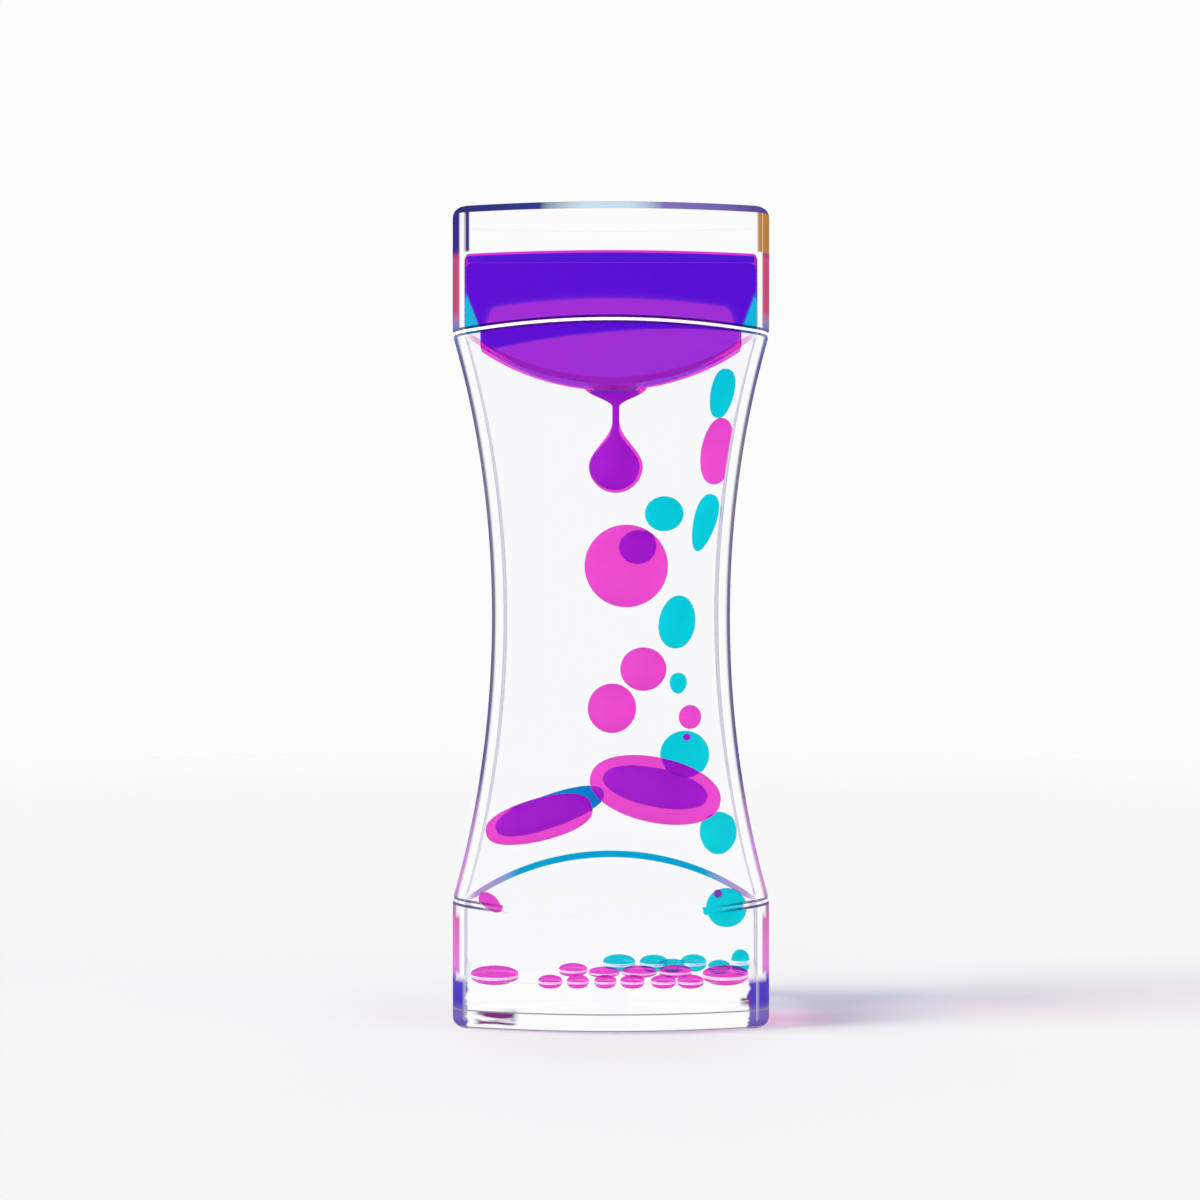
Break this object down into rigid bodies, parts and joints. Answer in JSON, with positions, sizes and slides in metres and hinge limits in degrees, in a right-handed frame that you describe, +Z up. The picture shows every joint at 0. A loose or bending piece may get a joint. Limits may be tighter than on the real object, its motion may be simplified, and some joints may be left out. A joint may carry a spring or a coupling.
{
  "type": "liquid motion timer",
  "caption": "Sealed clear hourglass block in which magenta and cyan drops sink through clear fluid from an upper drip tray to a lower reservoir; turned over, it starts again.",
  "frame": {"origin": "middle of the underside of the base", "axes": "+Z up, +X to the right seen from the front, front face towards -Y"},
  "size_m": [0.058, 0.034, 0.15],
  "materials": {
    "clear_plastic": "gloss",
    "clear_fluid": "gloss",
    "magenta_liquid": "gloss",
    "cyan_liquid": "gloss"
  },
  "bodies": {
    "shell": {"upper_cap": "clear_plastic", "lower_cap": "clear_plastic", "waist_tube": "clear_plastic", "upper_tray": "clear_plastic", "lower_tray": "clear_plastic", "upper_divider": "clear_plastic", "column_divider": "clear_plastic", "lower_divider": "clear_plastic", "front_fill_plug": "clear_plastic", "rear_fill_plug": "clear_plastic", "front_pool": "magenta_liquid", "rear_pool": "cyan_liquid", "front_drop_root": "magenta_liquid", "rear_drop_root": "cyan_liquid", "front_settled_beads": "magenta_liquid", "rear_settled_beads": "cyan_liquid", "front_column_fluid": "clear_fluid", "rear_column_fluid": "clear_fluid", "front_lower_fluid": "clear_fluid", "rear_lower_fluid": "clear_fluid"},
    "front_bead_body": {"front_bead": "magenta_liquid"},
    "front_big_drop_body": {"front_big_drop": "magenta_liquid"},
    "front_corner_drop_body": {"front_corner_drop": "magenta_liquid"},
    "front_hanging_drop_body": {"front_hanging_drop": "magenta_liquid"},
    "front_last_bead_body": {"front_last_bead": "magenta_liquid"},
    "front_round_drop_lower_body": {"front_round_drop_lower": "magenta_liquid"},
    "front_round_drop_upper_body": {"front_round_drop_upper": "magenta_liquid"},
    "front_small_drop_body": {"front_small_drop": "magenta_liquid"},
    "front_wall_drop_body": {"front_wall_drop": "magenta_liquid"},
    "front_wide_drop_left_body": {"front_wide_drop_left": "magenta_liquid"},
    "front_wide_drop_right_body": {"front_wide_drop_right": "magenta_liquid"},
    "rear_egg_drop_body": {"rear_egg_drop": "cyan_liquid"},
    "rear_hanging_drop_body": {"rear_hanging_drop": "cyan_liquid"},
    "rear_hidden_drop_body": {"rear_hidden_drop": "cyan_liquid"},
    "rear_large_drop_body": {"rear_large_drop": "cyan_liquid"},
    "rear_round_drop_body": {"rear_round_drop": "cyan_liquid"},
    "rear_slim_drop_body": {"rear_slim_drop": "cyan_liquid"},
    "rear_small_drop_body": {"rear_small_drop": "cyan_liquid"},
    "rear_sunk_drop_body": {"rear_sunk_drop": "cyan_liquid"},
    "rear_tear_drop_body": {"rear_tear_drop": "cyan_liquid"},
    "rear_top_drop_body": {"rear_top_drop": "cyan_liquid"},
    "rear_wide_drop_left_body": {"rear_wide_drop_left": "cyan_liquid"},
    "rear_wide_drop_right_body": {"rear_wide_drop_right": "cyan_liquid"}
  },
  "joints": [
    {"name": "front_big_drop_fall", "type": "slide", "parent": "shell", "child": "front_big_drop_body", "axis": [-0.0618, 0, -0.9981], "range_m": [0, 0.02104], "deforming": ["front_column_fluid", "front_lower_fluid"]},
    {"name": "front_bead_fall", "type": "slide", "parent": "shell", "child": "front_bead_body", "axis": [0, 0, -1], "range_m": [0, 0.0079]},
    {"name": "front_corner_drop_fall", "type": "slide", "parent": "shell", "child": "front_corner_drop_body", "axis": [0, 0, -1], "range_m": [0, 0.0083]},
    {"name": "front_hanging_drop_fall", "type": "slide", "parent": "shell", "child": "front_hanging_drop_body", "axis": [0, 0, -1], "range_m": [0, 0.022]},
    {"name": "front_last_bead_fall", "type": "slide", "parent": "shell", "child": "front_last_bead_body", "axis": [0, 0, -1], "range_m": [0, 0.0108]},
    {"name": "front_round_drop_lower_fall", "type": "slide", "parent": "shell", "child": "front_round_drop_lower_body", "axis": [-0.5855, 0, -0.8107], "range_m": [0, 0.00888]},
    {"name": "front_round_drop_upper_fall", "type": "slide", "parent": "shell", "child": "front_round_drop_upper_body", "axis": [0.0221, 0, -0.9998], "range_m": [0, 0.01361]},
    {"name": "front_small_drop_fall", "type": "slide", "parent": "shell", "child": "front_small_drop_body", "axis": [0, 0, -1], "range_m": [0, 0.0081]},
    {"name": "front_wall_drop_fall", "type": "slide", "parent": "shell", "child": "front_wall_drop_body", "axis": [-0.2158, 0, -0.9764], "range_m": [0, 0.00973]},
    {"name": "front_wide_drop_left_fall", "type": "slide", "parent": "shell", "child": "front_wide_drop_left_body", "axis": [0, 0, -1], "range_m": [0, 0.0026]},
    {"name": "front_wide_drop_right_fall", "type": "slide", "parent": "shell", "child": "front_wide_drop_right_body", "axis": [0, 0, -1], "range_m": [0, 0.0043]},
    {"name": "rear_hanging_drop_fall", "type": "slide", "parent": "shell", "child": "rear_hanging_drop_body", "axis": [0, 0, -1], "range_m": [0, 0.022], "deforming": ["rear_column_fluid", "rear_lower_fluid"]},
    {"name": "rear_egg_drop_fall", "type": "slide", "parent": "shell", "child": "rear_egg_drop_body", "axis": [0, 0, -1], "range_m": [0, 0.0087]},
    {"name": "rear_hidden_drop_fall", "type": "slide", "parent": "shell", "child": "rear_hidden_drop_body", "axis": [0, 0, -1], "range_m": [0, 0.025]},
    {"name": "rear_large_drop_fall", "type": "slide", "parent": "shell", "child": "rear_large_drop_body", "axis": [0, 0, -1], "range_m": [0, 0.006]},
    {"name": "rear_round_drop_fall", "type": "slide", "parent": "shell", "child": "rear_round_drop_body", "axis": [-0.0442, 0, -0.999], "range_m": [0, 0.01812]},
    {"name": "rear_slim_drop_fall", "type": "slide", "parent": "shell", "child": "rear_slim_drop_body", "axis": [-0.1483, 0, -0.9889], "range_m": [0, 0.00809]},
    {"name": "rear_small_drop_fall", "type": "slide", "parent": "shell", "child": "rear_small_drop_body", "axis": [0, 0, -1], "range_m": [0, 0.006]},
    {"name": "rear_sunk_drop_fall", "type": "slide", "parent": "shell", "child": "rear_sunk_drop_body", "axis": [0, 0, -1], "range_m": [0, 0.0063]},
    {"name": "rear_tear_drop_fall", "type": "slide", "parent": "shell", "child": "rear_tear_drop_body", "axis": [0.2631, 0, -0.9648], "range_m": [0, 0.00114]},
    {"name": "rear_top_drop_fall", "type": "slide", "parent": "shell", "child": "rear_top_drop_body", "axis": [-0.2384, 0, -0.9712], "range_m": [0, 0.01133]},
    {"name": "rear_wide_drop_left_fall", "type": "slide", "parent": "shell", "child": "rear_wide_drop_left_body", "axis": [0, 0, -1], "range_m": [0, 0.0026]},
    {"name": "rear_wide_drop_right_fall", "type": "slide", "parent": "shell", "child": "rear_wide_drop_right_body", "axis": [-0.4789, 0, -0.8779], "range_m": [0, 0.00251]}
  ],
  "couplings": [
    {"joint": "front_bead_fall", "follows": "front_big_drop_fall", "ratio": 0.37548},
    {"joint": "front_corner_drop_fall", "follows": "front_big_drop_fall", "ratio": 0.39449},
    {"joint": "front_hanging_drop_fall", "follows": "front_big_drop_fall", "ratio": 1.0456},
    {"joint": "front_last_bead_fall", "follows": "front_big_drop_fall", "ratio": 0.51331},
    {"joint": "front_round_drop_lower_fall", "follows": "front_big_drop_fall", "ratio": 0.42212},
    {"joint": "front_round_drop_upper_fall", "follows": "front_big_drop_fall", "ratio": 0.64655},
    {"joint": "front_small_drop_fall", "follows": "front_big_drop_fall", "ratio": 0.38498},
    {"joint": "front_wall_drop_fall", "follows": "front_big_drop_fall", "ratio": 0.46242},
    {"joint": "front_wide_drop_left_fall", "follows": "front_big_drop_fall", "ratio": 0.12357},
    {"joint": "front_wide_drop_right_fall", "follows": "front_big_drop_fall", "ratio": 0.20437},
    {"joint": "rear_egg_drop_fall", "follows": "rear_hanging_drop_fall", "ratio": 0.39546},
    {"joint": "rear_hidden_drop_fall", "follows": "rear_hanging_drop_fall", "ratio": 1.1364},
    {"joint": "rear_large_drop_fall", "follows": "rear_hanging_drop_fall", "ratio": 0.27273},
    {"joint": "rear_round_drop_fall", "follows": "rear_hanging_drop_fall", "ratio": 0.82353},
    {"joint": "rear_slim_drop_fall", "follows": "rear_hanging_drop_fall", "ratio": 0.36771},
    {"joint": "rear_small_drop_fall", "follows": "rear_hanging_drop_fall", "ratio": 0.27273},
    {"joint": "rear_sunk_drop_fall", "follows": "rear_hanging_drop_fall", "ratio": 0.28636},
    {"joint": "rear_tear_drop_fall", "follows": "rear_hanging_drop_fall", "ratio": 0.051826},
    {"joint": "rear_top_drop_fall", "follows": "rear_hanging_drop_fall", "ratio": 0.51484},
    {"joint": "rear_wide_drop_left_fall", "follows": "rear_hanging_drop_fall", "ratio": 0.11818},
    {"joint": "rear_wide_drop_right_fall", "follows": "rear_hanging_drop_fall", "ratio": 0.11391}
  ]
}
